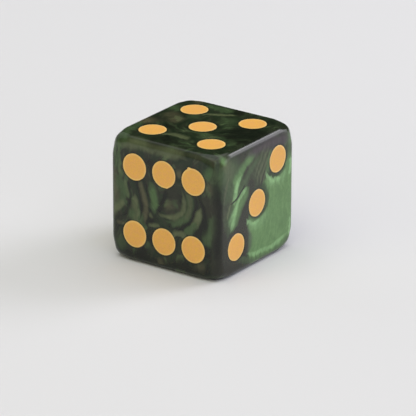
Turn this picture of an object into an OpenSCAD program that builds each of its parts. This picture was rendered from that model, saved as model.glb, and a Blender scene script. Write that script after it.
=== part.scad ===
// A six-sided gaming die: one block of marbled resin with 21 shallow drilled
// recesses, and 21 separate fills of gold paint that set the pips. The edges are
// lightly rounded and the corners are tumbled a little softer than the edges.
// Opposite faces add up to seven. The origin is the middle of the base, +Z is up,
// the five is on top, the six is at the front (-Y) and the three is on the right (+X).

/* [Block] */
// Length of an edge, flat face to flat face
edge_length = 16; // [12:0.5:25]
// Radius of the rounding along an edge, as a share of the edge length
edge_round_share = 0.055; // [0.03:0.005:0.06]
// Radius of the softer rounding at a corner, as a share of the edge length
corner_round_share = 0.09; // [0.07:0.005:0.12]
// How far from its corner an edge starts to soften, as a share of the edge length
softening_share = 0.18; // [0.14:0.01:0.3]

/* [Pips] */
// Diameter of a pip, as a share of the edge length
pip_share = 0.2125; // [0.12:0.0025:0.22]
// Distance from one row of pips to the next, as a share of the edge length
pitch_share = 0.26875; // [0.24:0.00125:0.28]
// Depth of the straight wall of a recess
recess_depth = 0.5; // [0.3:0.05:0.8]
// Depth of the shallow cone that the drill's point leaves below the wall
drill_point_depth = 0.25; // [0.1:0.05:0.4]
// How far the paint settles below the face as it cures
paint_sink = 0.03; // [0.01:0.01:0.1]

/* [Colours] */
// Colour of the resin block
resin_colour = "darkgreen"; // [darkgreen, maroon, navy, dimgray]
// Colour of the paint in the pips
paint_colour = "goldenrod"; // [goldenrod, gold, white, silver]

/* [Hidden] */
edge_round = edge_length * edge_round_share;
corner_round = edge_length * corner_round_share;
pip_radius = edge_length * pip_share / 2;
pitch = edge_length * pitch_share;
half = edge_length / 2;

// An edge keeps its small rounding up to this distance from its middle
even_half = half - edge_length * softening_share;
// Facets round a rounding, and round a pip, where they are drawn as a circle
round_facets = 32;
pip_facets = 96;
// The recess cutter reaches this far out of the face
overshoot = 1;

// The pips of each value, as [across, up] steps of one pitch from the face's middle
diagonal = [[-1, -1], [1, 1]];
other_diagonal = [[-1, 1], [1, -1]];
middle = [[0, 0]];
corners = concat(diagonal, other_diagonal);
sides = [[0, -1], [0, 1]];
PIPS = [
    middle,
    diagonal,
    concat(diagonal, middle),
    corners,
    concat(corners, middle),
    concat(corners, sides)
];

// How a face that points up is turned to where each value sits, in the order 1 to 6.
// On the four sides "across" then runs to the viewer's right and "up" along +Z.
TURNS = [
    [90, 0, 180],
    [180, 0, 0],
    [90, 0, 90],
    [90, 0, -90],
    [0, 0, 0],
    [90, 0, 0]
];

ROWS = ["lower", "middle", "upper"];
COLUMNS = ["left", "centre", "right"];

function is_middle(place) = place == [0, 0];

// The name of one pip, such as pip_6_upper_left or pip_5_centre
function pip_name(value, place) =
    str("pip_", value, "_", is_middle(place)
        ? "centre"
        : str(ROWS[place[1] + 1], "_", COLUMNS[place[0] + 1]));

// Carries what is drawn at the middle of an upward face at z = 0 to one pip's place
module at_pip(value, place) {
    translate([0, 0, half])
        rotate(TURNS[value - 1])
            translate([place[0] * pitch, place[1] * pitch, half])
                children();
}

// A ball whose facets reach its full radius along X, Y and Z
module ball(radius) {
    rotate_extrude($fn = round_facets)
        intersection() {
            circle(radius, $fn = round_facets);
            translate([0, -radius])
                square([radius, 2 * radius]);
        }
}

// The block before drilling: balls under the corners and along the edges, wrapped
module tumbled_cube() {
    edge_inset = half - edge_round;
    corner_inset = half - corner_round;
    hull()
        for (x = [-1, 1], y = [-1, 1], z = [-1, 1]) {
            translate([x * corner_inset, y * corner_inset, z * corner_inset])
                ball(corner_round);
            translate([x * even_half, y * edge_inset, z * edge_inset])
                ball(edge_round);
            translate([x * edge_inset, y * even_half, z * edge_inset])
                ball(edge_round);
            translate([x * edge_inset, y * edge_inset, z * even_half])
                ball(edge_round);
        }
}

// A straight wall and a drill point below it, from top down to the recess's floor
module drilled_shape(top) {
    translate([0, 0, -recess_depth])
        cylinder(h = recess_depth + top, r = pip_radius, $fn = pip_facets);
    translate([0, 0, -recess_depth - drill_point_depth])
        cylinder(h = drill_point_depth, r1 = 0, r2 = pip_radius, $fn = pip_facets);
}

module die_block() {
    color(resin_colour)
        difference() {
            translate([0, 0, half])
                tumbled_cube();
            for (value = [1:6], place = PIPS[value - 1])
                at_pip(value, place)
                    drilled_shape(overshoot);
        }
}

module pip(value, place) {
    color(paint_colour)
        at_pip(value, place)
            drilled_shape(-paint_sink);
}

die_block();
for (value = [1:6], place = PIPS[value - 1])
    pip(value, place);
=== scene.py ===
# %% [markdown]
# # A marbled gaming die
# The die is one block of swirled resin with a drilled, paint-filled recess for every pip.
# The design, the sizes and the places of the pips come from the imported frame, which this
# script reads first. Blender then makes the looks: the tumbled block, the fills and the finishes.

# %% Load the frame
import math
import random

import bmesh
import bpy
from mathutils import Matrix, Vector


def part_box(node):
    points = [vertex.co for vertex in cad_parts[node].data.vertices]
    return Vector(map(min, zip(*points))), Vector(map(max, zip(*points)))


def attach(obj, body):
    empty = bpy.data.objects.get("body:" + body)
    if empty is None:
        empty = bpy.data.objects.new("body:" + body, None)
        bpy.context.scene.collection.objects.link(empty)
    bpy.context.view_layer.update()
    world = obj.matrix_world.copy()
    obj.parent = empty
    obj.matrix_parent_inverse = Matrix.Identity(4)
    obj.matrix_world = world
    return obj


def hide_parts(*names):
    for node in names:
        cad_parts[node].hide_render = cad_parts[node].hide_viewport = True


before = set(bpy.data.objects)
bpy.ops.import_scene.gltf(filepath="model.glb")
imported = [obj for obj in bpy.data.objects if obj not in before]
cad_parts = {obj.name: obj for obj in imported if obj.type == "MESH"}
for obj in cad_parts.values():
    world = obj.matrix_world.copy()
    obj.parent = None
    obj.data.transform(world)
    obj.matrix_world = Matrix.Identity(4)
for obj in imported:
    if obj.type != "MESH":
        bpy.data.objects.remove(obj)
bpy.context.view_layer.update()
print("nodes:", len(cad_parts))

# %% [markdown]
# Everything is measured from the block itself. Blender works in metres, but a die is easier to
# think of in millimetres, so small sizes are written in millimetres and multiplied by MM.

# %% Driving sizes
MM = 0.001
block_low, block_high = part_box("die_block")
EDGE = block_high.x - block_low.x
HALF = EDGE / 2
CENTRE = (block_low + block_high) / 2
PIP_NODES = sorted(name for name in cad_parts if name.startswith("pip_"))
print(f"edge {EDGE / MM:.2f} mm, {len(PIP_NODES)} pips")

# %% [markdown]
# ## Camera
# A long lens from about half a metre keeps the edges of so small an object nearly parallel.
# The focal length follows from one choice: how much of the view's width an edge takes when it
# faces the lens. The camera slides sideways instead of using lens shift, so that other views
# stay centred. The roll is the little that a tripod head is off level.

# %% The camera
AZIMUTH = math.radians(35.3)
ELEVATION = math.radians(21.45)
ROLL = math.radians(0.17)
DISTANCE = 30 * EDGE
EDGE_SHARE_OF_VIEW = 0.3192
SLIDE_RIGHT = 0.041 * EDGE
SLIDE_UP = -0.145 * EDGE

back = Vector((
    math.sin(AZIMUTH) * math.cos(ELEVATION),
    -math.cos(AZIMUTH) * math.cos(ELEVATION),
    math.sin(ELEVATION),
))
aim = (-back).to_track_quat("-Z", "Y") @ Matrix.Rotation(ROLL, 3, "Z").to_quaternion()
camera_data = bpy.data.cameras.new("camera")
camera_data.lens = camera_data.sensor_width * EDGE_SHARE_OF_VIEW * DISTANCE / EDGE
camera = bpy.data.objects.new("camera", camera_data)
camera.rotation_mode = "QUATERNION"
camera.rotation_quaternion = aim
camera.location = CENTRE + back * DISTANCE + aim @ Vector((SLIDE_RIGHT, SLIDE_UP, 0))
camera_data.clip_start = EDGE
camera_data.clip_end = 200 * EDGE
bpy.context.scene.collection.objects.link(camera)
bpy.context.scene.camera = camera
print(f"lens {camera_data.lens:.0f} mm at {DISTANCE:.2f} m")

# %% [markdown]
# ## From bmesh to an object
# Every piece is shaped as a bmesh, with its place already in its points, and only then handed
# to an object that stays at the origin. Recalculated normals make sure that all faces point out.


# %% Finish a bmesh as an object
def as_object(name, mesh_edit, material):
    bmesh.ops.recalc_face_normals(mesh_edit, faces=mesh_edit.faces)
    mesh = bpy.data.meshes.new(name)
    mesh_edit.to_mesh(mesh)
    mesh_edit.free()
    mesh.shade_smooth()
    if material:
        mesh.materials.append(material)
    piece = bpy.data.objects.new(name, mesh)
    bpy.context.scene.collection.objects.link(piece)
    return piece


# %% [markdown]
# ## The block
# The blank is a cube that has spent hours in a barrel of polishing grit. The barrel takes a
# little off the edges, more off the corners, and leaves each face very slightly crowned.
# A bevel would round all of them alike, so the blank is a finely divided cube whose points are
# moved onto a rounding that grows towards the corners.

# %% Sizes of the tumbled blank
# squares along an edge of the grid, and how strongly they crowd towards the edges
CELLS = 60
CROWDING = 0.6
EDGE_ROUND = 1.05 * MM
CORNER_ROUND = 1.67 * MM
# how far from its middle an edge begins to soften towards the corner
SOFTENING_STARTS = 5.1 * MM
# 2 is a round arc, and more is squarer
ROUNDING_POWER = 2.4
# how much lower a flat is at its edges than in its middle
CROWN = 0.03 * MM


def crowded(distance):
    """Moves a grid line nearer to the edge, where the surface turns quickly."""
    share = distance / HALF
    return HALF * ((1 - CROWDING) * share + CROWDING * math.sin(share * math.pi / 2))


def smooth_step(value, start, end):
    """Goes smoothly from 0 to 1 while the value goes from start to end."""
    share = min(max((value - start) / (end - start), 0), 1)
    return share * share * (3 - 2 * share)


def tumbled(point):
    """The place on the polished blank of a point on the sharp cube round the origin."""
    along_edge = min(abs(c) for c in point)
    growth = smooth_step(along_edge, SOFTENING_STARTS, HALF - EDGE_ROUND)
    radius = EDGE_ROUND + (CORNER_ROUND - EDGE_ROUND) * growth
    inner = HALF - radius
    core = Vector([min(max(c, -inner), inner) for c in point])
    out = point - core
    reach = sum(abs(c) ** ROUNDING_POWER for c in out) ** (1 / ROUNDING_POWER)
    rounded = core + out * (radius / reach)
    shares = sorted(abs(c) / HALF for c in rounded)
    wear = CROWN * (shares[0] ** 4 + shares[1] ** 4)
    return rounded * (1 - wear / HALF)


# %% Shape the blank
blank = bmesh.new()
bmesh.ops.create_cube(blank, size=EDGE)
bmesh.ops.subdivide_edges(blank, edges=blank.edges[:], cuts=CELLS - 1, use_grid_fill=True)
for vert in blank.verts:
    vert.co = tumbled(Vector([crowded(c) for c in vert.co]))
bmesh.ops.translate(blank, vec=CENTRE, verts=blank.verts)
die_block = as_object("marbled_block", blank, None)
print("blank faces:", len(die_block.data.polygons))

# %% [markdown]
# ## Drilling
# A drill leaves a straight wall and a shallow cone, and polishing then breaks the sharp lip.
# The drill is a profile spun round its axis, with the rounding of the lip as part of the
# profile. All the drills together are one object, so one Boolean modifier cuts every recess.

# %% Where each pip sits and faces
DRILL_RADIUS = 1.7 * MM
WALL_DEPTH = 0.5 * MM
CONE_DEPTH = 0.25 * MM
LIP_ROUND = 0.07 * MM
LIP_POINTS = 5
# how far the drill stands out of the face, and how far its lip is lifted off the face, so
# that no circle of the drill lies exactly in the face
DRILL_ABOVE = 0.3 * MM
DRILL_LIFT = 0.002 * MM
# steps round a circle, and the distance below which two points are one
AROUND = 96
SAME_POINT = 0.0005 * MM


def pip_seat(node):
    """The point on the block's face over a pip, and the turn from +Z to the way it faces."""
    low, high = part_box(node)
    middle = (low + high) / 2
    size = high - low
    axis = min(range(3), key=lambda i: size[i])
    facing = Vector((0, 0, 0))
    facing[axis] = math.copysign(1, middle[axis] - CENTRE[axis])
    middle[axis] = CENTRE[axis] + facing[axis] * HALF
    turn = Vector((0, 0, 1)).rotation_difference(facing).to_matrix().to_4x4()
    return Matrix.Translation(middle) @ turn, facing


def spun(mesh_edit, profile):
    """Adds a profile of (radius, height) points to a bmesh and spins it round Z."""
    verts = [mesh_edit.verts.new((radius, 0, height)) for radius, height in profile]
    edges = [mesh_edit.edges.new(pair) for pair in zip(verts, verts[1:])]
    bmesh.ops.spin(
        mesh_edit,
        geom=verts + edges,
        cent=(0, 0, 0),
        axis=(0, 0, 1),
        dvec=(0, 0, 0),
        angle=2 * math.pi,
        steps=AROUND,
        use_merge=True,
        use_duplicate=False,
    )
    bmesh.ops.remove_doubles(mesh_edit, verts=mesh_edit.verts, dist=SAME_POINT)


# %% One drill for every pip
lip_angles = [math.pi / 2 * (1 - step / LIP_POINTS) for step in range(LIP_POINTS + 1)]
drill_profile = [(0, DRILL_ABOVE), (DRILL_RADIUS + LIP_ROUND, DRILL_ABOVE)]
drill_profile += [
    (DRILL_RADIUS + LIP_ROUND * (1 - math.cos(a)), -LIP_ROUND * (1 - math.sin(a)) + DRILL_LIFT)
    for a in lip_angles
]
drill_profile += [(DRILL_RADIUS, -WALL_DEPTH), (0, -WALL_DEPTH - CONE_DEPTH)]

drills = bmesh.new()
for node in PIP_NODES:
    drill = bmesh.new()
    spun(drill, drill_profile)
    bmesh.ops.recalc_face_normals(drill, faces=drill.faces)
    seat, _ = pip_seat(node)
    bmesh.ops.transform(drill, matrix=seat, verts=drill.verts)
    drill_mesh = bpy.data.meshes.new("drill")
    drill.to_mesh(drill_mesh)
    drill.free()
    drills.from_mesh(drill_mesh)
    bpy.data.meshes.remove(drill_mesh)
drill_set = as_object("drills", drills, None)
print("drill faces:", len(drill_set.data.polygons))

# %% [markdown]
# The exact solver is the one that keeps all 21 recesses closed. Once the cut is in the mesh,
# the modifier and the drills have done their work and go. Edges that bend more than 40 degrees,
# such as those at the bottom of a recess, are shaded sharp.

# %% Cut the recesses
SHARP_ANGLE = math.radians(40)

cut = die_block.modifiers.new("recesses", "BOOLEAN")
cut.object = drill_set
cut.solver = "EXACT"
bpy.context.view_layer.update()
cut_block = die_block.evaluated_get(bpy.context.evaluated_depsgraph_get())
drilled = bpy.data.meshes.new_from_object(cut_block)
die_block.modifiers.clear()
die_block.data = drilled
bpy.data.objects.remove(drill_set)
drilled.shade_smooth()
drilled.set_sharp_from_angle(angle=SHARP_ANGLE)
print("drilled faces:", len(drilled.polygons))

# %% [markdown]
# Round each recess the block's colour is darkened into a thin dark outline: painted shade at the
# lip, where one would look through the clear resin at the wall of the hole. That line has to
# follow every pip, so the block's mesh keeps an attribute that is 1 at a lip and falls to 0 a
# little way out, for the finish to read.

# %% Paint the shade at the lips of the recesses
LIP_SHADE_FROM = DRILL_RADIUS + 0.04 * MM
LIP_SHADE_TO = DRILL_RADIUS + 0.2 * MM
# only points this near to a face belong to the lips in it
NEAR_FACE = HALF / 4


def paint_lip_shade(mesh):
    """Writes the painted shade attribute and gives the number of points that it shades."""
    seats = [(Vector(seat.translation), facing) for seat, facing in map(pip_seat, PIP_NODES)]
    painted_lip_shade = mesh.attributes.new("painted_lip_shade", "FLOAT", "POINT")
    for vert, value in zip(mesh.vertices, painted_lip_shade.data):
        for middle, facing in seats:
            offset = vert.co - middle
            depth = offset.dot(facing)
            if abs(depth) < NEAR_FACE:
                distance = (offset - facing * depth).length
                shade = 1 - smooth_step(distance, LIP_SHADE_FROM, LIP_SHADE_TO)
                value.value = max(value.value, shade)
    return sum(value.value > 0 for value in painted_lip_shade.data)


print("points at the lips:", paint_lip_shade(drilled))

# %% [markdown]
# ## Paint fills
# Each recess is filled with thick paint and wiped level. As it cures, the paint shrinks: it
# dishes slightly, climbs the wall at its rim, and keeps a faint unevenness. A fill is a spun
# profile too, with rings across its top so that the surface can settle unevenly. Where the
# wiping dragged a little paint over the lip, the fill has a nib: a direction and a length.
# Every fill draws its unevenness from its own name, so no two are alike.

# %% Sizes of a fill
FILL_RADIUS = 1.685 * MM
# a hair of air under the paint, so that the fill and the block don't touch
FILL_CONE_DEPTH = 0.98 * CONE_DEPTH
FILL_SINK = 0.03 * MM
DISH = 0.02 * MM
RIM_CLIMB = 0.018 * MM
# how steeply the paint climbs: a power of the share of the radius
CLIMB_POWER = 10
RINGS = 14
UNEVENNESS = 0.005 * MM
WAVES_AROUND = (1, 2, 3, 5)
# the shares of the radius between which the paint turns into its pale rim, a painted highlight
RIM_HIGHLIGHT_FROM = 0.86
RIM_HIGHLIGHT_TO = 0.97
# a nib takes up this angle, begins at this share of the radius and stands this far up
NIB_WIDTH = 0.13
NIB_FROM = 0.9
NIB_HEIGHT = 0.02 * MM
NIBS = {
    "pip_6_upper_right": (Vector((-0.35, 0, 0.93)), 0.2 * MM),
    "pip_6_upper_centre": (Vector((0.3, 0, -0.95)), 0.05 * MM),
}


# %% How the paint settles
def settled_height(share, angle, waves):
    """Height of the cured surface, where share runs from 0 in the middle to 1 at the rim."""
    height = -FILL_SINK - DISH * (1 - share ** 2) + RIM_CLIMB * share ** CLIMB_POWER
    for count, phase, strength in waves:
        height += UNEVENNESS * strength * share ** 2 * math.cos(count * angle + phase)
    return height


def pull_nib(vert, share, angle, seat, nib):
    """Drags a point of the rim out and up, most in the direction of the nib."""
    nib_way, nib_length = nib
    outward = seat.to_3x3() @ Vector((math.cos(angle), math.sin(angle), 0))
    swell = math.exp(-(outward.angle(nib_way) / NIB_WIDTH) ** 2)
    spread = 1 + swell * nib_length / FILL_RADIUS * (share - NIB_FROM) / (1 - NIB_FROM)
    vert.co.x *= spread
    vert.co.y *= spread
    vert.co.z += swell * (FILL_SINK + NIB_HEIGHT)


# %% How a fill is shaped
def paint_fill(node):
    chance = random.Random(node)
    waves = [
        (count, chance.uniform(0, 2 * math.pi), chance.uniform(0.3, 1))
        for count in WAVES_AROUND
    ]
    profile = [(FILL_RADIUS * ring / RINGS, 0) for ring in range(RINGS + 1)]
    profile += [(FILL_RADIUS, -WALL_DEPTH), (0, -WALL_DEPTH - FILL_CONE_DEPTH)]
    fill = bmesh.new()
    spun(fill, profile)
    seat, _ = pip_seat(node)
    nib = NIBS.get(node)
    for vert in fill.verts:
        if vert.co.z < -WALL_DEPTH / 2:
            continue
        share = math.hypot(vert.co.x, vert.co.y) / FILL_RADIUS
        angle = math.atan2(vert.co.y, vert.co.x)
        vert.co.z = settled_height(share, angle, waves)
        if nib and share > NIB_FROM:
            pull_nib(vert, share, angle, seat, nib)
    # where the pale ring of painted highlight lies on the fill
    rim_highlight = fill.verts.layers.float.new("rim_highlight")
    for vert in fill.verts:
        share = math.hypot(vert.co.x, vert.co.y) / FILL_RADIUS
        vert[rim_highlight] = smooth_step(share, RIM_HIGHLIGHT_FROM, RIM_HIGHLIGHT_TO)
    bmesh.ops.transform(fill, matrix=seat, verts=fill.verts)
    return fill


# %% [markdown]
# ## Node helpers
# A procedural finish is a long sum. These helpers add one node each and hand back its output,
# so that the finishes below read as arithmetic and not as wiring. A noise scale is in waves
# per millimetre, as every finish first turns its point into millimetres.

# %% Helpers for arithmetic
def add_node(tree, kind, **settings):
    made = tree.nodes.new(kind)
    for key, value in settings.items():
        setattr(made, key, value)
    return made


def feed(tree, socket, value):
    """Links an output to a socket, or sets the socket to a plain value."""
    if isinstance(value, bpy.types.NodeSocket):
        tree.links.new(value, socket)
    elif value is not None:
        socket.default_value = value


def calc(tree, operation, *values):
    made = add_node(tree, "ShaderNodeMath", operation=operation)
    for socket, value in zip(made.inputs, values):
        feed(tree, socket, value)
    return made.outputs[0]


def vector_calc(tree, operation, first, second=None, scale=None):
    """Vector arithmetic. Input 3 is the node's scale, used only when a vector is scaled."""
    made = add_node(tree, "ShaderNodeVectorMath", operation=operation)
    feed(tree, made.inputs[0], first)
    feed(tree, made.inputs[1], second)
    feed(tree, made.inputs[3], scale)
    is_number = operation in ("LENGTH", "DISTANCE", "DOT_PRODUCT")
    return made.outputs["Value" if is_number else "Vector"]


def ease(tree, value, low, high, out_low=0.0, out_high=1.0):
    """A smooth change from one value to another as the input goes from low to high.

    The curve is level at both ends, so it needs no clamp. A clamp would be one more node for
    the renderer, made after all the others, and every ribbon would have to wait for it.
    """
    made = add_node(tree, "ShaderNodeMapRange", interpolation_type="SMOOTHSTEP", clamp=False)
    feed(tree, made.inputs["Value"], value)
    limits = {"From Min": low, "From Max": high, "To Min": out_low, "To Max": out_high}
    for name, number in limits.items():
        feed(tree, made.inputs[name], number)
    return made.outputs["Result"]


# %% Helpers for noise, colour and a new finish
def noise(tree, vector, scale, detail=3.0, roughness=0.5, distortion=0.0):
    made = add_node(tree, "ShaderNodeTexNoise")
    feed(tree, made.inputs["Vector"], vector)
    made.inputs["Scale"].default_value = scale
    made.inputs["Detail"].default_value = detail
    made.inputs["Roughness"].default_value = roughness
    made.inputs["Distortion"].default_value = distortion
    return made


def blend_colour(tree, share, first, second, kind="MIX"):
    """Mixes two colours. The node has sockets of the same names for each kind of value, and
    those for colours are inputs 6 and 7 and output 2."""
    made = add_node(tree, "ShaderNodeMix", data_type="RGBA", blend_type=kind)
    feed(tree, made.inputs["Factor"], share)
    feed(tree, made.inputs[6], first)
    feed(tree, made.inputs[7], second)
    return made.outputs[2]


def new_finish(name):
    material = bpy.data.materials.new(name)
    material.use_nodes = True
    tree = material.node_tree
    return material, tree, tree.nodes["Principled BSDF"]


# %% [markdown]
# ## Marbled resin
# The maker pours pigments into clear resin and drags a rod through them before it sets. The
# finish is built the same way: a cloudy ground, a few stirs that twist the space it is read in,
# and then ribbons of pigment laid over each other. One big noise texture would give the right
# amount of marbling but no say in where it goes, and ribbons keep that choice.

# %% The pigments, as linear colours
PIGMENTS = {
    "black": (0.006, 0.008, 0.005, 1),
    "bottle": (0.018, 0.032, 0.014, 1),
    "umber": (0.026, 0.027, 0.017, 1),
    "plum": (0.062, 0.048, 0.058, 1),
    "moss": (0.054, 0.092, 0.038, 1),
    "olive": (0.084, 0.081, 0.044, 1),
    "sage": (0.098, 0.120, 0.058, 1),
    "green": (0.124, 0.250, 0.087, 1),
    # the pearl flakes: their bright colour is partly painted sheen, the shine of flakes that face
    # the light
    "pearl_sheen": (0.250, 0.455, 0.195, 1),
}
print("pigments:", ", ".join(PIGMENTS))

# %% [markdown]
# A ribbon is part of a ring: its centre across and up the face, its radius, how far it reaches
# inwards and outwards before it has faded, the heading of its middle and the angle it spans
# each way, and its strength. Unequal reaches give the sharp front and soft back of real pearl
# pigment. A ring with no radius is a soft patch. Lengths are in millimetres and angles in
# degrees, turned from "across" towards "up". Later ribbons lie over earlier ones.

# %% The faces that the ribbons lie in
ALL_ROUND = (0, 180)
# across, up and out of each face
FACES = {
    "six": (Vector((1, 0, 0)), Vector((0, 0, 1)), Vector((0, -1, 0))),
    "three": (Vector((0, 1, 0)), Vector((0, 0, 1)), Vector((1, 0, 0))),
    "five": (Vector((1, 0, 0)), Vector((0, 1, 0)), Vector((0, 0, 1))),
}
print("faces with ribbons:", ", ".join(FACES))

# %% [markdown]
# The six is dark at its foot. Strands run down its left, a hook turns round in its middle, a
# wedge fills the space beside the hook, and short flecks lie between the lower pips. A soft band
# along its top is painted reflection in the polish.

# %% The ribbons of the six
RIBBONS = {}
RIBBONS["six"] = [
    # the dark foot of the face, and dark hollows between the pips
    ("black", (0, 20), 27.6, (1.6, 2.0), (-90, 20), 0.85),
    ("black", (-2.2, -2.2), 0, (1, 1.3), ALL_ROUND, 0.8),
    ("black", (-2.1, -4.3), 0, (1, 1.4), ALL_ROUND, 0.8),
    ("black", (-6.5, -3.4), 0, (1, 1.5), ALL_ROUND, 0.7),
    ("black", (-2.1, 5.1), 0, (1, 1.4), ALL_ROUND, 0.8),
    ("umber", (6.4, 1.6), 0, (1, 2.4), ALL_ROUND, 0.8),
    # strands down the left
    ("olive", (-15.0, 0.5), 7.9, (0.9, 1.0), (0, 34), 0.6),
    ("moss", (-8.3, 0.5), 2.5, (1.3, 0.5), (0, 70), 0.95),
    ("sage", (-8.3, 0.5), 2.5, (1.0, 0.6), (-50, 40), 0.95),
    ("black", (-8.4, 0.4), 3.55, (0.4, 0.4), (-8, 54), 0.85),
    ("sage", (-10.0, -0.6), 5.9, (0.7, 0.6), (-2, 19), 0.9),
    ("moss", (-4.7, -1.7), 0, (1, 0.9), ALL_ROUND, 0.8),
    ("black", (-8.2, -0.4), 5.0, (0.35, 0.35), (10, 36), 0.85),
    ("olive", (-12.0, -1.5), 9.4, (0.6, 0.5), (12, 20), 0.9),
    ("black", (-12.0, -1.5), 10.2, (0.4, 0.4), (10, 20), 0.85),
    ("moss", (-6.5, 0.3), 5.3, (1.2, 0.7), (8, 26), 1.0),
    ("green", (-6.5, 0.3), 5.3, (0.8, 0.5), (7, 18), 0.3),
    # the hook in the middle
    ("umber", (1.5, 2.0), 0, (1, 1.7), ALL_ROUND, 0.8),
    ("olive", (0.9, 0.4), 0, (1, 1.1), ALL_ROUND, 0.6),
    ("black", (-9.5, 5.2), 10.4, (0.55, 0.55), (-26, 12), 0.9),
    ("umber", (0.6, 1.4), 1.8, (0.3, 0.3), (-50, 60), 0.6),
    ("moss", (0.6, 1.5), 3.25, (0.6, 0.7), (-25, 80), 1.0),
    ("olive", (0.6, 1.5), 3.3, (0.5, 0.5), (0, 50), 0.5),
    ("sage", (0.6, 1.4), 2.5, (0.6, 0.45), (-45, 90), 0.9),
    ("black", (0.8, 1.6), 3.95, (0.45, 0.45), (-35, 66), 0.85),
    # the wedge beside it and the right hand column
    ("sage", (0.8, 1.6), 4.6, (0.7, 0.9), (-25, 24), 1.0),
    ("moss", (0.8, 1.6), 4.6, (0.6, 0.8), (-46, 18), 1.0),
    ("black", (2.2, 0.2), 3.7, (0.4, 0.5), (-6, 54), 0.9),
    ("moss", (1.5, 0.5), 5.8, (1.0, 1.4), (-20, 26), 1.0),
    ("green", (6.7, 5.9), 0, (1, 1.2), ALL_ROUND, 0.4),
    ("olive", (6.8, 4.1), 0, (1, 1.2), ALL_ROUND, 0.7),
    ("black", (8.2, 4.4), 0, (1, 2.0), ALL_ROUND, 0.6),
    # flecks
    ("olive", (2.2, 4.8), 0, (1, 0.9), ALL_ROUND, 0.9),
    ("sage", (2.2, -4.0), 1.3, (0.4, 0.7), (90, 60), 0.95),
    ("sage", (-1.2, -3.7), 1.2, (0.35, 0.5), (98, 50), 0.8),
    ("sage", (-1.9, -1.3), 0, (1, 0.45), ALL_ROUND, 0.7),
    ("olive", (-6.0, -4.6), 1.4, (0.3, 0.5), (98, 40), 0.7),
    ("moss", (-2.3, -5.2), 0, (1, 0.7), ALL_ROUND, 0.8),
    ("moss", (-6.2, -5.8), 0, (1, 1.3), ALL_ROUND, 0.6),
    ("black", (-3.2, -6.8), 0, (1, 1.5), ALL_ROUND, 0.8),
    ("black", (2.6, -6.6), 0, (1, 1.8), ALL_ROUND, 0.9),
    ("olive", (-0.5, -7.0), 0, (1, 0.7), ALL_ROUND, 0.6),
    ("olive", (5.3, -6.2), 0, (1, 1.2), ALL_ROUND, 0.5),
    # a soft band along the top of the face: painted reflection in the polish
    ("sage", (-1.8, -20.0), 27.3, (1.0, 1.6), (90, 12), 0.9),
]
print("ribbons of the six:", len(RIBBONS["six"]))
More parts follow.
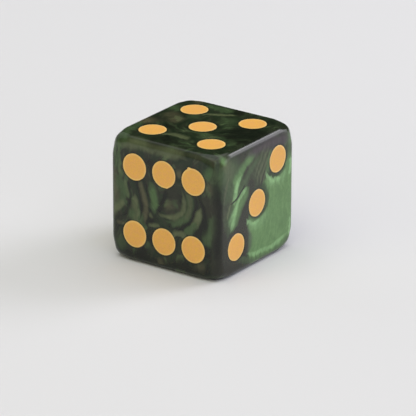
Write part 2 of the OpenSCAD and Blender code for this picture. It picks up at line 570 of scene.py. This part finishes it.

# %% [markdown]
# The three is dark at its left and has a broad sheet of pearl at its right, bright partly by
# painted sheen where its flakes catch the light from the right. Two bright strands lie between
# them. Round every pip lies a dark ring of painted shade, and the pearl stops at a sharp front
# there.

# %% The ribbons of the three
RIBBONS["three"] = [
    # the dark half, with fine strands in it
    ("umber", (0, 0), 12, (60, 1), ALL_ROUND, 0.7),
    ("umber", (-5.2, -5.6), 3.6, (20, 2.2), ALL_ROUND, 0.9),
    ("black", (-5.6, -6.0), 3.2, (20, 2.2), ALL_ROUND, 0.4),
    ("moss", (-5.9, 4.6), 1.4, (20, 2.2), ALL_ROUND, 1.0),
    ("sage", (-5.6, 5.6), 0, (1, 1.6), ALL_ROUND, 0.5),
    ("moss", (0.4, 4.8), 0, (1, 2.8), ALL_ROUND, 0.3),
    ("sage", (9.0, -0.5), 7.5, (0.15, 0.4), (151, 17), 0.75),
    ("sage", (9.0, -0.5), 8.15, (0.15, 0.4), (149, 18), 0.75),
    ("sage", (9.0, -0.5), 8.8, (0.15, 0.45), (147, 18), 0.75),
    ("sage", (9.0, -0.5), 9.5, (0.15, 0.45), (146, 17), 0.7),
    ("sage", (9.0, -0.5), 10.2, (0.15, 0.4), (145, 14), 0.6),
    ("moss", (7.2, 5.0), 0, (1, 2.4), ALL_ROUND, 1.0),
    ("green", (6.9, 6.2), 0, (1, 1.2), ALL_ROUND, 0.5),
    ("green", (6.9, 3.4), 0, (1, 1.5), ALL_ROUND, 0.7),
    # two bright strands on the left, with a dark line drawn across
    ("moss", (3.8, -4.4), 10.0, (1.2, 1.8), (146, 26), 0.9),
    ("moss", (2.4, -0.6), 6.4, (0.3, 0.7), (128, 26), 0.9),
    ("green", (1.0, 0.0), 6.4, (0.6, 1.3), (126, 27), 0.75),
    ("green", (3.0, 0.6), 7.6, (0.5, 1.4), (160, 20), 0.6),
    ("sage", (3.0, -3.0), 9.6, (0.15, 0.35), (155, 10), 0.9),
    ("sage", (3.0, -1.0), 10.3, (0.15, 0.35), (157, 9), 0.8),
    ("sage", (2.4, 0.5), 9.3, (0.15, 0.4), (158, 11), 0.8),
    ("pearl_sheen", (3.4, -0.2), 8.3, (0.5, 0.8), (158, 14), 1.0),
    ("green", (3.3, -4.6), 8.7, (1.1, 1.7), (144, 22), 0.75),
    ("pearl_sheen", (2.5, -4.4), 8.5, (0.35, 0.7), (134, 12), 0.85),
    ("pearl_sheen", (3.0, -4.4), 8.75, (0.6, 1.0), (152, 13), 0.85),
    ("black", (-6.0, 5.7), 4.2, (0.25, 0.25), (-60, 30), 0.95),
    # the broad pearl sheet on the right, bright partly by painted sheen, and dark rings of painted
    # shade round the pips
    ("green", (5.6, -4.1), 7.1, (40, 0.9), ALL_ROUND, 0.95),
    ("bottle", (0.3, 0.1), 1.75, (20, 0.8), ALL_ROUND, 0.8),
    ("bottle", (4.1, 4.2), 1.8, (20, 0.7), ALL_ROUND, 0.9),
    ("umber", (-4.1, -4.3), 2.0, (20, 0.8), ALL_ROUND, 0.9),
    ("plum", (-3.4, -4.3), 2.0, (0.7, 0.6), (0, 60), 0.5),
    ("green", (4.3, 4.3), 2.1, (0.2, 0.6), (168, 50), 0.5),
    ("pearl_sheen", (4.3, 4.3), 2.4, (0.2, 1.5), (-96, 60), 0.45),
    ("pearl_sheen", (4.3, 4.3), 2.55, (0.3, 0.5), (-122, 54), 0.9),
    ("pearl_sheen", (0.0, 0.0), 2.3, (0.2, 1.4), (-92, 60), 0.4),
    ("pearl_sheen", (0.0, 0.0), 2.4, (0.25, 0.5), (-112, 40), 0.8),
    # the foot and the right hand edge
    ("moss", (2.5, 12.0), 19.1, (0.4, 1.2), (-90, 24), 0.9),
    ("green", (2.5, 12.0), 18.8, (0.6, 0.8), (-88, 18), 0.6),
    ("pearl_sheen", (2.5, 12.0), 18.5, (0.45, 0.55), (-91, 15), 0.7),
    # bright strips along the right hand edge: pearl pigment with painted highlight, where the edge
    # catches the light
    ("pearl_sheen", (-13.0, 2.6), 20.1, (0.5, 0.5), (0, 4), 1.0),
    ("pearl_sheen", (-13.0, -5.2), 20.1, (0.4, 0.5), (0, 4), 0.7),
    ("plum", (1.5, -12), 19.0, (1.4, 1.2), (87, 16), 0.8),
    ("black", (-8.0, 3.2), 0, (1, 2.6), ALL_ROUND, 0.6),
    # a glint at the front top corner: painted highlight over sage and pearl pigment
    ("sage", (-6.3, 6.9), 0, (1, 1.3), ALL_ROUND, 0.8),
    ("pearl_sheen", (-6.6, 7.3), 0, (1, 0.7), ALL_ROUND, 0.7),
    ("black", (-27.6, 0), 20, (0.8, 0.8), (0, 22), 0.8),
]
print("ribbons of the three:", len(RIBBONS["three"]))

# %% [markdown]
# The five is the calmest: near black, with a few wisps towards its left and its front.

# %% The ribbons of the five
RIBBONS["five"] = [
    ("bottle", (0, 0), 12, (60, 1), ALL_ROUND, 0.4),
    ("black", (6.0, 0.5), 1.5, (20, 2.5), ALL_ROUND, 0.7),
    ("black", (-1.2, -6.6), 0.8, (20, 1.6), ALL_ROUND, 0.7),
    ("black", (-3.2, -2.0), 0, (1, 1.8), ALL_ROUND, 0.6),
    ("black", (0.6, 6.3), 0, (1, 1.8), ALL_ROUND, 0.6),
    ("olive", (-4.0, 0.1), 0, (1, 1.6), ALL_ROUND, 0.7),
    ("olive", (-5.3, 1.2), 0, (1, 1.6), ALL_ROUND, 0.6),
    ("umber", (-5.8, -1.0), 0, (1, 1.8), ALL_ROUND, 0.7),
    ("sage", (-7.0, -3.0), 4.6, (0.4, 0.7), (50, 16), 0.7),
    ("moss", (-6.8, 3.4), 0, (1, 1.6), ALL_ROUND, 0.8),
    ("olive", (-6.8, -2.2), 0, (1, 1.8), ALL_ROUND, 1.0),
    ("moss", (-2.0, -4.6), 5.0, (1.0, 1.6), (196, 44), 0.8),
    ("moss", (-2.0, 0.0), 6.3, (1.1, 1.2), (90, 24), 0.8),
    ("sage", (5.4, -5.7), 12.0, (0.6, 0.5), (121, 12), 0.85),
    ("moss", (1.6, 3.2), 0, (1, 2.0), ALL_ROUND, 0.5),
    ("moss", (-3.0, 2.2), 0, (1, 1.3), ALL_ROUND, 0.5),
    ("sage", (-0.4, -7.2), 2.9, (0.5, 1.0), (96, 46), 0.85),
    ("moss", (1.9, -2.3), 0, (1, 0.9), ALL_ROUND, 0.8),
    ("moss", (2.6, 1.5), 0, (1, 0.9), ALL_ROUND, 0.4),
    ("sage", (-0.9, -2.5), 0, (1, 0.6), ALL_ROUND, 0.4),
    ("olive", (-5.4, 6.9), 0, (1, 1.0), ALL_ROUND, 0.6),
]
print("ribbons of the five:", len(RIBBONS["five"]))


# %% [markdown]
# ### One ribbon
# Every ribbon is the same sum with other numbers, so the sum is built once, as a node group.
# The distance from the ring's line is divided by the reach on that side, and the depth below
# the face by a reach of its own. The two together say how much pigment covers the ground.
# Towards its ends a ribbon thins as it fades, as a dragged streak of pigment does.

# %% What a ribbon is told
# how deep below the face a ribbon still shows, in millimetres
RIBBON_DEPTH = 1.4
# the share of its reach over which a ribbon keeps its full strength
SOLID_SHARE = 0.15
# where an end fades, as a share of the way from that end to the ribbon's middle
END_FADES_FROM = -0.05
END_FADES_TO = 0.75
# how thin a ribbon gets at its ends, as a share of its reach
THINNEST = 0.05
# stands for a ring without ends, as no cosine is below -1
NO_ENDS = -2.0
RIBBON_INPUTS = {
    "Ground": "Color",
    "Pigment": "Color",
    "Point": "Vector",
    "Centre": "Vector",
    "Facing": "Vector",
    "Heading": "Vector",
    "Radius": "Float",
    "Inwards": "Float",
    "Outwards": "Float",
    "End": "Float",
    "Strength": "Float",
}


# %% A ribbon as a node group
def ribbon_group():
    """Lays one ribbon of pigment over a ground colour, fading into the depth of the block."""
    group = bpy.data.node_groups.new("ribbon", "ShaderNodeTree")
    for name, kind in RIBBON_INPUTS.items():
        group.interface.new_socket(name, in_out="INPUT", socket_type="NodeSocket" + kind)
    group.interface.new_socket("Colour", in_out="OUTPUT", socket_type="NodeSocketColor")
    given = add_node(group, "NodeGroupInput").outputs

    offset = vector_calc(group, "SUBTRACT", given["Point"], given["Centre"])
    depth = vector_calc(group, "DOT_PRODUCT", offset, given["Facing"])
    down = vector_calc(group, "SCALE", given["Facing"], scale=depth)
    in_face = vector_calc(group, "SUBTRACT", offset, down)

    beyond = calc(group, "SUBTRACT", vector_calc(group, "LENGTH", in_face), given["Radius"])
    outwards = calc(group, "DIVIDE", calc(group, "MAXIMUM", beyond, 0.0), given["Outwards"])
    inwards = calc(group, "DIVIDE", calc(group, "MINIMUM", beyond, 0.0), given["Inwards"])
    share = calc(group, "SUBTRACT", outwards, inwards)
    sunk = calc(group, "DIVIDE", depth, RIBBON_DEPTH)
    share_squared = calc(group, "MULTIPLY", share, share)
    sunk_squared = calc(group, "MULTIPLY", sunk, sunk)
    off_ribbon = calc(group, "SQRT", calc(group, "ADD", share_squared, sunk_squared))

    way = vector_calc(group, "NORMALIZE", in_face)
    along = vector_calc(group, "DOT_PRODUCT", way, given["Heading"])
    past_end = calc(group, "SUBTRACT", along, given["End"])
    past_end = calc(group, "DIVIDE", past_end, calc(group, "SUBTRACT", 1.0, given["End"]))
    from_end = ease(group, past_end, END_FADES_FROM, END_FADES_TO)
    endless = calc(group, "LESS_THAN", given["End"], -1.0)
    reach = calc(group, "MAXIMUM", from_end, endless)

    taper = calc(group, "MAXIMUM", reach, THINNEST)
    band = ease(group, calc(group, "DIVIDE", off_ribbon, taper), SOLID_SHARE, 1.0, 1.0, 0.0)
    cover = calc(group, "MULTIPLY", calc(group, "MULTIPLY", band, reach), given["Strength"])
    colour = blend_colour(group, cover, given["Ground"], given["Pigment"])
    group.links.new(colour, add_node(group, "NodeGroupOutput").inputs[0])
    return group


RIBBON = ribbon_group()
print("nodes in a ribbon:", len(RIBBON.nodes))

# %% [markdown]
# The renderer works through the nodes in the order in which they were made, and it holds every
# number until its last use. So whatever a ribbon needs is made just before the ribbon itself.
# Made the other way round, over a hundred ribbons would fill its memory and turn the die black.


# %% Lay one ribbon
def lay_ribbon(tree, ground, point, face, ribbon, visible):
    pigment, (across, up), radius, (inwards, outwards), (heading, span), strength = ribbon
    way_across, way_up, facing = FACES[face]
    angle = math.radians(heading)
    strength_here = calc(tree, "MULTIPLY", visible, strength)
    made = add_node(tree, "ShaderNodeGroup", node_tree=RIBBON)
    feed(tree, made.inputs["Ground"], ground)
    feed(tree, made.inputs["Point"], point)
    made.inputs["Pigment"].default_value = PIGMENTS[pigment]
    made.inputs["Centre"].default_value = way_across * across + way_up * up + facing * HALF / MM
    made.inputs["Facing"].default_value = facing
    made.inputs["Heading"].default_value = way_across * math.cos(angle) + way_up * math.sin(angle)
    made.inputs["Radius"].default_value = radius
    made.inputs["Inwards"].default_value = inwards
    made.inputs["Outwards"].default_value = outwards
    made.inputs["End"].default_value = math.cos(math.radians(span)) if span < 180 else NO_ENDS
    feed(tree, made.inputs["Strength"], strength_here)
    return made.outputs[0]


# %% [markdown]
# ### Stirs and drifts
# A stir is one turn of the rod: it twists the space in which the colours are read, round an
# axis through its centre. Each has a centre, an axis, a size and a turn, in millimetres from
# the middle of the block and in radians. A drift is the slow, uneven flow of the resin.

# %% Stir and drift
STIRS = [
    ((0.8, -8.0, 1.6), (0, 1, 0), 3.6, 1.9),
    ((-5.5, -6.0, -4.0), (0, 1, 0), 3.0, -1.2),
    ((8.0, -3.0, 3.5), (1, 0, 0), 3.5, -1.0),
    ((-2.0, 2.0, 8.0), (0, 0, 1), 5.0, 1.6),
    ((-8.0, 1.0, -1.0), (1, 0, 0), 4.5, 2.2),
    ((2.5, 8.0, 2.0), (0, 1, 0), 4.5, -2.4),
    ((-3.5, 8.0, -4.0), (0, 1, 0), 3.0, 2.0),
    ((1.0, 1.0, -8.0), (0, 0, 1), 4.5, 2.2),
]
MID_GREY = (0.5, 0.5, 0.5)


def stir(tree, point, centre, axis, size, turn):
    """Twists space round an axis, most at its centre and not at all far away."""
    distance = vector_calc(tree, "DISTANCE", point, centre)
    share = calc(tree, "DIVIDE", distance, size)
    share_squared = calc(tree, "MULTIPLY", share, share)
    fade = calc(tree, "EXPONENT", calc(tree, "MULTIPLY", share_squared, -1.0))
    made = add_node(tree, "ShaderNodeVectorRotate", rotation_type="AXIS_ANGLE")
    feed(tree, made.inputs["Vector"], point)
    made.inputs["Center"].default_value = centre
    made.inputs["Axis"].default_value = axis
    feed(tree, made.inputs["Angle"], calc(tree, "MULTIPLY", fade, turn))
    return made.outputs[0]


def drifted(tree, point, scale, distance):
    """Moves each point a little, by a noise that is smooth over about one over the scale."""
    colour = noise(tree, point, scale, detail=2).outputs["Color"]
    push = vector_calc(tree, "SUBTRACT", colour, MID_GREY)
    return vector_calc(tree, "ADD", point, vector_calc(tree, "SCALE", push, scale=distance))


# %% [markdown]
# ### The ground
# The ground is noise drawn out into strands along one tilted direction, as the pour leaves it,
# and read in the stirred space. A ramp turns it into pigments, from black up to sage.

# %% The ground under the ribbons
STRAND_TILT = math.radians(45)
# the noise changes this much more slowly along a strand than across it
STRAND_DRAW = 0.22
# how much of the noise is broad clouds and how much fine strands
BROAD_SHARE = 0.72
FINE_SHARE = 0.28


def stirred_ground(tree, point):
    """The ground's colour, and the fine noise in its strands."""
    stirred = drifted(tree, point, scale=0.4, distance=2.0)
    for centre, axis, size, turn in STIRS:
        stirred = stir(tree, stirred, centre, axis, size, turn)
    strands = add_node(tree, "ShaderNodeMapping")
    feed(tree, strands.inputs["Vector"], stirred)
    strands.inputs["Rotation"].default_value = (STRAND_TILT, 0, 0)
    strands.inputs["Scale"].default_value = (1.0, 1.0, STRAND_DRAW)
    drawn = strands.outputs[0]
    broad = noise(tree, drawn, scale=0.42, detail=2, distortion=0.6).outputs["Fac"]
    fine = noise(tree, drawn, scale=1.5, roughness=0.55, distortion=0.4).outputs["Fac"]

    broad_part = calc(tree, "MULTIPLY", broad, BROAD_SHARE)
    fine_part = calc(tree, "MULTIPLY", fine, FINE_SHARE)
    amount = calc(tree, "ADD", broad_part, fine_part)
    ramp = add_node(tree, "ShaderNodeValToRGB")
    feed(tree, ramp.inputs[0], ease(tree, amount, low=0.3, high=0.72))
    stops = ramp.color_ramp.elements
    stops[0].position, stops[0].color = 0.0, PIGMENTS["black"]
    stops[1].position, stops[1].color = 1.0, PIGMENTS["sage"]
    stops.new(0.3).color = PIGMENTS["bottle"]
    stops.new(0.52).color = PIGMENTS["umber"]
    stops.new(0.78).color = PIGMENTS["moss"]
    return ramp.outputs[0], fine


# %% [markdown]
# ### Where the ribbons go
# The ribbons are laid out for the three faces that meet at the front right corner. The other
# three faces read them through the middle of the block. Along the seam between the two halves
# the ribbons fade into the ground, so nothing shows where one set ends and the other begins.

# %% Fold the block
# how far from the seam the ribbons are back at full strength, in millimetres
SEAM_FADE = 0.9
# how the fine noise frays the edges of the ribbons, in millimetres along x, y and z
FEATHER = (0.0, 0.45, 0.45)


def folded_space(tree, point, fine):
    """The point in which the ribbons are read, and how strongly they show there."""
    xyz = add_node(tree, "ShaderNodeSeparateXYZ")
    feed(tree, xyz.inputs[0], point)
    x, y, z = xyz.outputs
    front = calc(tree, "MULTIPLY", y, -1.0)
    highest = calc(tree, "MAXIMUM", calc(tree, "MAXIMUM", x, z), front)
    lowest = calc(tree, "MINIMUM", calc(tree, "MINIMUM", x, z), front)
    past_seam = calc(tree, "ADD", highest, lowest)
    side = calc(tree, "SIGN", past_seam)
    visible = ease(tree, calc(tree, "ABSOLUTE", past_seam), 0.0, SEAM_FADE)
    fray = vector_calc(tree, "SCALE", FEATHER, scale=calc(tree, "SUBTRACT", fine, 0.5))
    wandering = drifted(tree, point, scale=0.5, distance=0.9)
    frayed = vector_calc(tree, "ADD", wandering, fray)
    return vector_calc(tree, "SCALE", frayed, scale=side), visible


# %% [markdown]
# Pearl pigment is made of flat flakes, and its bright colour is partly painted sheen, the shine of
# flakes that face the light. Where the flow has combed them they show as fine, steep threads, so
# the pearl ribbons alone are seen through a noise drawn out along that direction.

# %% Threads in the pearl
THREAD_TILT = math.radians(-30)
# how many times longer than wide a thread is
THREAD_LENGTH = 4.0


def pearl_threads(tree, point):
    """How much of the pearl shows: all of it in a thread, and less between the threads."""
    threads = add_node(tree, "ShaderNodeMapping", vector_type="TEXTURE")
    feed(tree, threads.inputs["Vector"], point)
    threads.inputs["Rotation"].default_value = (THREAD_TILT, 0, 0)
    threads.inputs["Scale"].default_value = (1.0, 1.0, THREAD_LENGTH)
    thread = noise(tree, threads.outputs[0], scale=2.2, detail=2, roughness=0.6).outputs["Fac"]
    return ease(tree, thread, low=0.36, high=0.58, out_low=0.62, out_high=1.0)


# %% [markdown]
# ### The finish
# Over the ground and the ribbons go a fine streak and a grain, which lighten and darken them
# by about a tenth, and the painted shade at the lips of the recesses. The colour itself is matte
# and has no shine of its own, apart from the sheen painted into the pearl. The polish is a clear
# coat over it, so the pigments seem to lie below the surface, as they do in cast resin.

# %% The resin
LIP_SHADE = 0.75
BASE_ROUGHNESS = 0.4
POLISH_ROUGHNESS = 0.12
POLISH_IOR = 1.41


def resin_finish():
    material, tree, shader = new_finish("marbled_resin")
    place = add_node(tree, "ShaderNodeTexCoord").outputs["Object"]
    centred = vector_calc(tree, "SUBTRACT", place, CENTRE)
    point = vector_calc(tree, "SCALE", centred, scale=1 / MM)

    colour, fine = stirred_ground(tree, point)
    folded, visible = folded_space(tree, point, fine)
    threaded = calc(tree, "MULTIPLY", visible, pearl_threads(tree, point))
    for face, ribbons in RIBBONS.items():
        for ribbon in ribbons:
            shown = threaded if ribbon[0] == "pearl_sheen" else visible
            colour = lay_ribbon(tree, colour, folded, face, ribbon, shown)

    grain = noise(tree, point, scale=3.2, roughness=0.6).outputs["Fac"]
    streak = ease(tree, fine, low=0.3, high=0.7, out_low=0.88, out_high=1.12)
    speckle = ease(tree, grain, low=0.3, high=0.7, out_low=0.93, out_high=1.07)
    brightness = calc(tree, "MULTIPLY", streak, speckle)
    colour = blend_colour(tree, 1.0, colour, brightness, "MULTIPLY")
    # painted shade at the lips of the recesses, darkening the colour towards black
    painted_lip_shade = add_node(tree, "ShaderNodeAttribute", attribute_name="painted_lip_shade").outputs["Fac"]
    colour = blend_colour(tree, calc(tree, "MULTIPLY", painted_lip_shade, LIP_SHADE), colour, PIGMENTS["black"])

    feed(tree, shader.inputs["Base Color"], colour)
    shader.inputs["Roughness"].default_value = BASE_ROUGHNESS
    shader.inputs["Specular IOR Level"].default_value = 0.0
    shader.inputs["Coat Weight"].default_value = 1.0
    shader.inputs["Coat Roughness"].default_value = POLISH_ROUGHNESS
    shader.inputs["Coat IOR"].default_value = POLISH_IOR
    return material


# %% [markdown]
# ## Gold paint
# The paint is a satin lacquer with fine metal powder in it: mostly one colour, with a speck of
# grain where the flakes lie at different angles. Fresh out of the pot it creeps up the wall of
# its recess. A pale ring at its rim is painted highlight, where that climb catches the light,
# and the fill's "rim_highlight" attribute tells the finish where it lies.

# %% The paint
GOLD = (0.83, 0.445, 0.082, 1)
RED_GOLD = (0.82, 0.42, 0.11, 1)
# the pale ring at the rim of each fill: painted highlight
HIGHLIGHT_GOLD = (0.95, 0.66, 0.24, 1)
RIM_HIGHLIGHT_STRENGTH = 0.7
SPECK_STRENGTH = 0.25
SPECK_HEIGHT = 0.02 * MM


def paint_finish():
    material, tree, shader = new_finish("gold_paint")
    place = add_node(tree, "ShaderNodeTexCoord").outputs["Object"]
    point = vector_calc(tree, "SCALE", place, scale=1 / MM)
    grain = noise(tree, point, scale=9.0, roughness=0.7).outputs["Fac"]
    cloud = noise(tree, point, scale=2.4, detail=2).outputs["Fac"]
    tone = ease(tree, grain, low=0.25, high=0.75, out_low=0.93, out_high=1.07)
    colour = blend_colour(tree, ease(tree, cloud, low=0.35, high=0.65), GOLD, RED_GOLD)
    colour = blend_colour(tree, 1.0, colour, tone, "MULTIPLY")
    # the painted highlight at the rim
    rim_highlight = add_node(tree, "ShaderNodeAttribute", attribute_name="rim_highlight").outputs["Fac"]
    colour = blend_colour(tree, calc(tree, "MULTIPLY", rim_highlight, RIM_HIGHLIGHT_STRENGTH), colour, HIGHLIGHT_GOLD)
    feed(tree, shader.inputs["Base Color"], colour)
    satin = ease(tree, grain, low=0.2, high=0.8, out_low=0.46, out_high=0.6)
    feed(tree, shader.inputs["Roughness"], satin)
    bump = add_node(tree, "ShaderNodeBump")
    feed(tree, bump.inputs["Height"], grain)
    bump.inputs["Strength"].default_value = SPECK_STRENGTH
    bump.inputs["Distance"].default_value = SPECK_HEIGHT
    feed(tree, shader.inputs["Normal"], bump.outputs[0])
    return material


# %% [markdown]
# ## Every piece in place
# Each piece is hung on the body it moves with and gets its finish, and the designed piece that
# it stands in for is hidden. The block was shaped without a finish, so it gets its resin here.
# The fills are shaped here too, one for each pip, and share one paint.

# %% Put the pieces in place
die_block.data.materials.clear()
die_block.data.materials.append(resin_finish())
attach(die_block, "root")
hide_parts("die_block")

gold_paint = paint_finish()
for node in PIP_NODES:
    fill = as_object(node.replace("pip", "fill"), paint_fill(node), gold_paint)
    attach(fill, "root")
    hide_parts(node)
print("fills:", len(PIP_NODES))

# %% [markdown]
# ## Table and light
# The die stands on plain white card, under a wide softbox overhead. Three keys stand behind it
# on the right, one above the other, where one tall light would be hard to balance: together
# they throw one soft shadow and draw the line of light along the far edges. Three fills, warm
# from the front, cool from the right and weak from the left, light the upright faces.

# %% The table
TABLE_SIZE = 3.0
CARD = (0.744, 0.75, 0.782, 1)
CARD_ROUGHNESS = 0.9
CARD_SHINE = 0.1


def table_finish():
    material, _, shader = new_finish("white_card")
    shader.inputs["Base Color"].default_value = CARD
    shader.inputs["Roughness"].default_value = CARD_ROUGHNESS
    shader.inputs["Specular IOR Level"].default_value = CARD_SHINE
    return material


table_edit = bmesh.new()
bmesh.ops.create_grid(table_edit, x_segments=2, y_segments=2, size=TABLE_SIZE / 2)
table = as_object("table", table_edit, table_finish())
print(f"table {TABLE_SIZE:.0f} m square")


# %% The lights
COOL_KEY = (0.95, 0.92, 1.0)
WARM_FILL = (1.0, 0.97, 0.6)
COOL_FILL = (0.82, 0.82, 1.0)


def softbox(name, direction, distance, size, power, colour=(1, 1, 1)):
    """A square light that faces the block, with its size and distance in metres."""
    data = bpy.data.lights.new(name, "AREA")
    data.size = size
    data.energy = power
    data.color = colour
    light = bpy.data.objects.new(name, data)
    way = Vector(direction).normalized()
    light.location = CENTRE + way * distance
    light.rotation_mode = "QUATERNION"
    light.rotation_quaternion = (-way).to_track_quat("-Z", "Y")
    light.visible_camera = False
    bpy.context.scene.collection.objects.link(light)
    print(f"{name}: {power} W")


# name, direction from the block, distance, size, power in watts, colour
softbox("overhead", (-0.08, 0.1, 1.0), 0.85, 1.05, 2.5)
softbox("key", (0.45, 0.7, 0.6), 0.7, 0.22, 0.7, COOL_KEY)
softbox("middle_key", (0.5, 0.78, 0.38), 0.7, 0.4, 1.15, COOL_KEY)
softbox("low_key", (0.65, 0.74, 0.15), 0.75, 0.5, 1.3, COOL_KEY)
softbox("front_fill", (-0.05, -0.84, 0.7), 0.8, 1.1, 2.8, WARM_FILL)
softbox("right_fill", (0.75, -0.6, 0.4), 0.8, 0.8, 1.45, COOL_FILL)
softbox("left_fill", (-0.95, 0.15, 0.3), 0.8, 0.8, 0.85)

# %% [markdown]
# The room is a soft glow overhead that leans a little to the right and fades out well above
# the horizon. Below that it is dim, which is what keeps the polished top dark. Seen by the
# camera itself, the room is as pale as the table, so that low views don't end in darkness.
# The Standard view shows colours as they are, without a film curve.

# %% The room
CEILING = (0.95, 0.94, 0.94, 1)
ROOM_SEEN = (0.78, 0.78, 0.79, 1)
GLOW_CENTRE = (0.2, -0.05, 0.98)
# the cosines of the angles from the glow's centre at which it starts and is full
GLOW_STARTS = 0.64
GLOW_FULL = 0.86
GLOW = 0.9
DIMNESS = 0.02


def room():
    world = bpy.data.worlds.new("room")
    world.use_nodes = True
    tree = world.node_tree
    light = tree.nodes["Background"]
    way = add_node(tree, "ShaderNodeTexCoord").outputs["Generated"]
    height = vector_calc(tree, "DOT_PRODUCT", way, GLOW_CENTRE)
    light.inputs["Color"].default_value = CEILING
    feed(tree, light.inputs["Strength"], ease(tree, height, GLOW_STARTS, GLOW_FULL, DIMNESS, GLOW))
    seen = add_node(tree, "ShaderNodeBackground")
    seen.inputs["Color"].default_value = ROOM_SEEN
    either = add_node(tree, "ShaderNodeMixShader")
    feed(tree, either.inputs[0], add_node(tree, "ShaderNodeLightPath").outputs["Is Camera Ray"])
    feed(tree, either.inputs[1], light.outputs[0])
    feed(tree, either.inputs[2], seen.outputs[0])
    feed(tree, tree.nodes["World Output"].inputs["Surface"], either.outputs[0])
    return world


bpy.context.scene.world = room()
bpy.context.scene.view_settings.view_transform = "Standard"
print("room:", bpy.context.scene.world.name)
